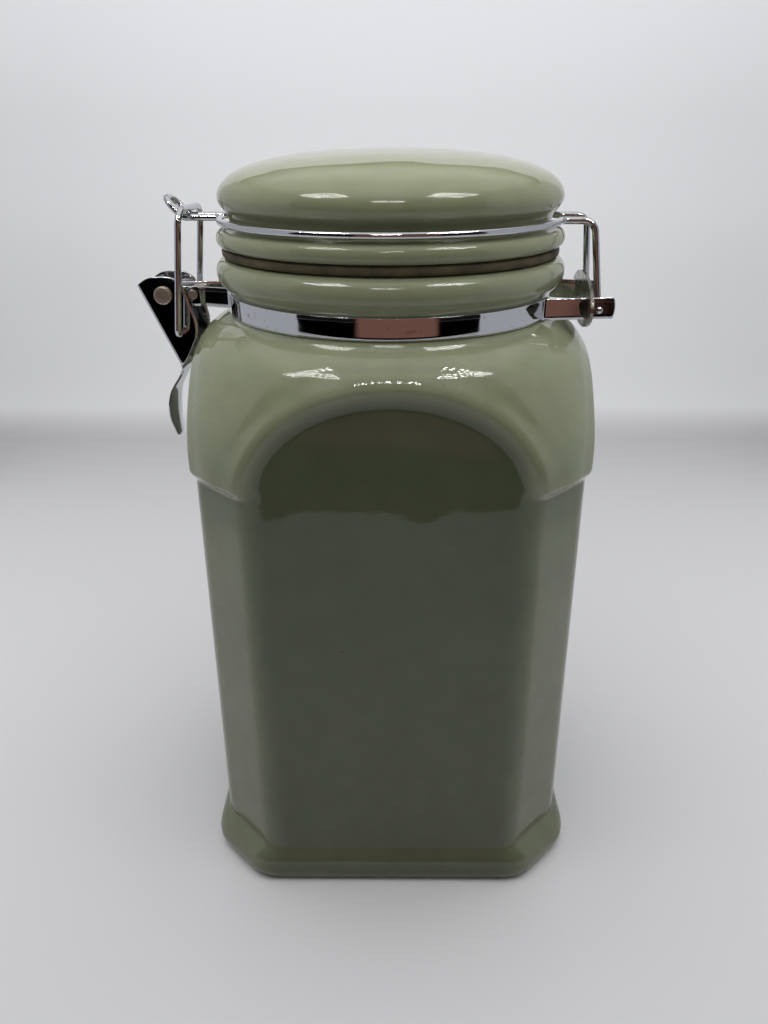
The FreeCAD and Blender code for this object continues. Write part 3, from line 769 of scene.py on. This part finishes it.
def turned_steel(name, centre):
    """Pin head faced on a lathe: fine rings round the pin's own axis."""
    material, tree, shader, _ = new_material(name)
    place = add(tree, "ShaderNodeTexCoord").outputs["Object"]
    straight = add(tree, "ShaderNodeVectorRotate", {"rotation_type": "Z_AXIS"}, Vector=place,
                   Angle=-CLAMP_TURN).outputs[0]
    flat = add(tree, "ShaderNodeVectorMath", {"operation": "MULTIPLY_ADD"}, _0=straight,
               _1=(1, 0, 1), _2=(-centre[0] * MM, 0, -centre[1] * MM)).outputs[0]
    radius = add(tree, "ShaderNodeVectorMath", {"operation": "LENGTH"}, _0=flat).outputs["Value"]
    rings = add(tree, "ShaderNodeMath", {"operation": "SINE"},
                _0=add(tree, "ShaderNodeMath", {"operation": "MULTIPLY"}, _0=radius,
                       _1=2 * np.pi / (0.22 * MM)).outputs[0]).outputs[0]
    bump = add(tree, "ShaderNodeBump", {}, Strength=1.0, Distance=0.000004, Height=rings)
    tarnish = ramp(tree, noise(tree, place, 1.6, 4.0), 0.35, 0.7)
    tint = mix_colour(tree, tarnish, linear("#c9bcae"), linear("#a59482"))
    tree.links.new(tint, shader.inputs["Base Color"])
    tree.links.new(ramp(tree, tarnish, 0.0, 1.0, 0.30, 0.48), shader.inputs["Roughness"])
    tree.links.new(bump.outputs[0], shader.inputs["Normal"])
    shader.inputs["Metallic"].default_value = 1.0
    return material


def old_rubber(name):
    material, tree, shader, _ = new_material(name)
    place = add(tree, "ShaderNodeTexCoord").outputs["Object"]
    mottle = ramp(tree, noise(tree, place, RUBBER_MOTTLE, 5.0), 0.35, 0.68)
    # painted shade: both colours are darker than the rubber itself, as shade on the ring tucked
    # under the lid; the mottle between them is the rubber's own
    tint = mix_colour(tree, mottle, linear("#4d4220"), linear("#2c2611"))
    grain = add(tree, "ShaderNodeBump", {}, Strength=1.0, Distance=0.00003,
                Height=noise(tree, place, RUBBER_GRAIN, 3.0))
    tree.links.new(tint, shader.inputs["Base Color"])
    tree.links.new(ramp(tree, mottle, 0.0, 1.0, 0.62, 0.78), shader.inputs["Roughness"])
    tree.links.new(grain.outputs[0], shader.inputs["Normal"])
    return material


strip_chrome = plated("bright_chrome_on_steel_strip", "#cfd0d3", (0.04, 0.11), 0.000020,
                      0.0000012, (0.12, 0.12, 1.0))
wire_chrome = plated("bright_chrome_on_steel_wire", "#c6c7ca", (0.04, 0.10), 0.000012,
                     0.0000008, (0.5, 0.5, 0.5))
keeper_steel = plated("dull_plate_on_pressed_steel", "#86837c", (0.20, 0.38), 0.000030,
                      0.0000060, (1.0, 1.0, 0.2))
rivet_steel = turned_steel("turned_steel_lever_rivet", (-79.9, 209.6))
spacer_steel = turned_steel("turned_steel_arm_spacer", (-69.7, 209.7))
rubber = old_rubber("yellowed_rubber_with_painted_shade")

finishes = {front_strip: strip_chrome, rear_strip: strip_chrome, lever_sheet: strip_chrome,
            lid_wire: wire_chrome, link_wire: wire_chrome, gasket_ring: rubber,
            nodes["keeper_plate"]: keeper_steel, nodes["lever_rivet"]: rivet_steel,
            nodes["arm_spacer"]: spacer_steel}
for piece, finish in finishes.items():
    piece.data.materials.clear()
    piece.data.materials.append(finish)
    print(piece.name, "->", finish.name)

# %% [markdown]
# ## Light box
# The jar stands in a white light box that is open at the front. The paper sweeps from the
# floor up the back in one curve. Its walls and roof are soft lights, and the open front is
# dark, which makes the front panel look deeper than the shoulder, helped by the shade painted
# into the glaze. The paper itself carries painted light: it glows faintly in the crease and
# more up the wall. Chrome shows all of it, so the walls, the dark opening and a warm card in it
# are cards that only reflections see.

# %% Paper sweep
SWEEP_START, SWEEP_RADIUS, WALL_TOP, FRONT = 0.42, 0.20, 1.3, -3.0
PAPER_HALF = 3.0
# painted light on the paper: its glow is faint in the crease and rises up the wall; the next two
# lines give the height where it stops rising and its steps
PAINTED_LIGHT_TOP = 0.8                               # m up the wall
PAPER_PAINTED_LIGHT = ((0.004, 0.07), (0.015, 0.24), (0.09, 0.30), (0.22, 0.37), (0.35, 0.41))
bend = np.linspace(0, np.pi / 2, 40)
line = np.vstack([np.stack([np.linspace(FRONT, SWEEP_START, 30), np.zeros(30)], -1),
                  np.stack([SWEEP_START + SWEEP_RADIUS * np.sin(bend),
                            SWEEP_RADIUS * (1 - np.cos(bend))], -1)[1:],
                  [[SWEEP_START + SWEEP_RADIUS, WALL_TOP]]])
across = np.linspace(-PAPER_HALF, PAPER_HALF, 9)
sheet = np.stack([across + 0 * line[:, :1], line[:, :1] + 0 * across,
                  line[:, 1:] + 0 * across], -1)
backdrop = grid_mesh("backdrop", sheet, ring=False)
paper, tree, shader, _ = new_material("white_paper_sweep")
shader.inputs["Base Color"].default_value = (0.63, 0.63, 0.645, 1)
shader.inputs["Roughness"].default_value = 0.8
height = add(tree, "ShaderNodeSeparateXYZ", {},
             Vector=add(tree, "ShaderNodeTexCoord").outputs["Object"]).outputs[2]
# painted light on the paper: the ramp starts with black at 0 and white at 1; these stops go
# between, by share of the height where the glow stops rising
glow = add(tree, "ShaderNodeValToRGB", {}, Fac=ramp(tree, height, 0.0, PAINTED_LIGHT_TOP))
for at, level in PAPER_PAINTED_LIGHT:
    glow.color_ramp.elements.new(at).color = (level, level, level, 1)
shader.inputs["Emission Color"].default_value = (0.96, 0.97, 1.0, 1)
tree.links.new(glow.outputs[0], shader.inputs["Emission Strength"])
backdrop.data.materials.append(paper)

# %% [markdown]
# ## Soft lights
# The roof and both walls of the box glow. They are large area lights, so shadows have no
# edge. The glaze would mirror them as hard rectangles, so what it mirrors is drawn apart.

# %% Soft lights
def aimed(at, aim):
    """Matrix of something at one point that faces another."""
    back = (Vector(at) - Vector(aim)).normalized()
    return Matrix.Translation(at) @ back.to_track_quat("Z", "Y").to_matrix().to_4x4()


def soft_light(name, at, aim, size, power):
    """Area light that lights the surfaces but isn't mirrored in them."""
    data = bpy.data.lights.new(name, "AREA")
    data.shape, data.size, data.size_y, data.energy = "RECTANGLE", size[0], size[1], power
    lamp = bpy.data.objects.new(name, data)
    lamp.matrix_world = aimed(at, aim)
    lamp.visible_camera = lamp.visible_glossy = False
    bpy.context.scene.collection.objects.link(lamp)
    print(name, "at", at, power, "W")


ROOF = 0.52
soft_light("roof_front", (0, -0.10, ROOF), (0, -0.10, 0), (0.9, 0.32), 2.35)
soft_light("front_fill", (0, -0.60, 0.46), (0, -0.12, 0), (0.9, 0.30), 0.55)
soft_light("roof_back", (0, 0.25, ROOF), (0, 0.25, 0), (0.9, 0.40), 0.7)
for x in (-0.34, 0.34):
    soft_light("side_wall", (x, 0.10, 0.25), (0, 0.10, 0.22), (0.45, 0.44), 0.28)


# %% [markdown]
# ## What the gloss mirrors
# A mirror shows brightness by direction, so each card is a flat glowing sheet in one
# direction: pale walls on both sides, a dim roof, a warm patch in the dark opening at the
# front, and the floor in front of the paper, which is dark.

# %% Cards that only reflections see
def card(name, at, aim, size, colour, strength, fade=0.0):
    """Flat glowing card. `fade` is the share of its half size over which its edge darkens."""
    x, y = size[0] / 2, size[1] / 2
    grid = np.array([[(-x, -y, 0), (x, -y, 0)], [(-x, y, 0), (x, y, 0)]], float)
    piece = grid_mesh(name, grid, ring=False, smooth=False)
    material, tree, shader, output = new_material(name)
    glow = add(tree, "ShaderNodeEmission", {}, Color=linear(colour), Strength=strength)
    if fade:
        place = add(tree, "ShaderNodeSeparateXYZ", {},
                    Vector=add(tree, "ShaderNodeTexCoord").outputs["Object"])
        edges = []
        for k, half in ((0, x), (1, y)):
            out = add(tree, "ShaderNodeMath", {"operation": "ABSOLUTE"}, _0=place.outputs[k])
            edges.append(ramp(tree, out.outputs[0], half * (1 - fade), half, 1.0, 0.0))
        both = add(tree, "ShaderNodeMath", {"operation": "MULTIPLY"}, _0=edges[0], _1=edges[1])
        level = ramp(tree, both.outputs[0], 0.0, 1.0, 0.0, strength)
        tree.links.new(level, glow.inputs["Strength"])
    tree.links.new(glow.outputs[0], output.inputs["Surface"])
    piece.data.materials.append(material)
    piece.matrix_world = aimed(at, aim)
    for ray in ("camera", "diffuse", "transmission", "volume_scatter", "shadow"):
        setattr(piece, "visible_" + ray, False)
    return piece


card("roof_card", (0, 0.0, ROOF), (0, 0.0, 0), (0.9, 0.9), "#ffffff", 0.9, 0.5)
for x, y in ((-0.36, 0.15), (0.36, 0.13)):
    card("wall_card", (x, y, 0.25), (0, y, 0.25), (0.70, 0.5), "#f4f7ff", 0.50)
card("warm_card", (0.055, -0.55, 0.10), (0.055, 0, 0.10), (0.58, 0.7), "#a87a6c", 0.5, 0.15)
card("dark_floor_card", (0, -1.0, 0.001), (0, -1.0, 1), (3.0, 1.2), "#000000", 0.0)

# %% [markdown]
# ## Lamp panels
# The roof of the box carries three panels of small square lamps. They make the short dotted
# highlights on the lid, on both beads and on the shoulder, which tell the eye how tight and
# how glassy the curve under them is.

# %% Small lamps
LAMP_ROWS, LAMP_COLUMNS, LAMP_PITCH, LAMP_SIZE = 5, 11, 0.0150, 0.0050
PANELS = np.array([(-0.215, -0.195), (-0.016, -0.47), (0.20, -0.195)])
column = (np.arange(LAMP_COLUMNS) - (LAMP_COLUMNS - 1) / 2) * LAMP_PITCH
row = (np.arange(LAMP_ROWS) - (LAMP_ROWS - 1) / 2) * LAMP_PITCH * 1.8
place = np.stack(np.meshgrid(column, row, indexing="ij"), -1).reshape(1, -1, 1, 2)
corner = np.array([(-0.5, -1), (-0.5, 1), (0.5, 1), (0.5, -1)]) * LAMP_SIZE
dots = (PANELS[:, None, None, :] + place + corner).reshape(-1, 2)
dots = np.hstack([dots, np.full((len(dots), 1), ROOF - 0.02)])
mesh = bpy.data.meshes.new("lamp_dots")
mesh.from_pydata(dots.tolist(), [], np.arange(len(dots)).reshape(-1, 4).tolist())
lamps = bpy.data.objects.new("lamp_dots", mesh)
bpy.context.scene.collection.objects.link(lamps)
material, tree, shader, output = new_material("lamp_glow")
glow = add(tree, "ShaderNodeEmission", {}, Strength=70.0)
tree.links.new(glow.outputs[0], output.inputs["Surface"])
lamps.data.materials.append(material)
print("lamps:", len(dots) // 4)
for ray in ("camera", "diffuse", "transmission", "volume_scatter", "shadow"):
    setattr(lamps, "visible_" + ray, False)

# %% [markdown]
# ## Dim room
# Outside the box the room is almost dark, which gives the chrome its black bands. Where the
# camera looks past the paper it sees the same pale grey as the paper.

# %% World
world = bpy.data.worlds.new("studio")
bpy.context.scene.world = world
world.use_nodes = True
tree = world.node_tree
seen = add(tree, "ShaderNodeLightPath").outputs["Is Camera Ray"]
sky = mix_colour(tree, seen, (0.006, 0.006, 0.006, 1), linear("#cfd0d3"))
tree.links.new(sky, tree.nodes["Background"].inputs["Color"])
print("world:", world.name)
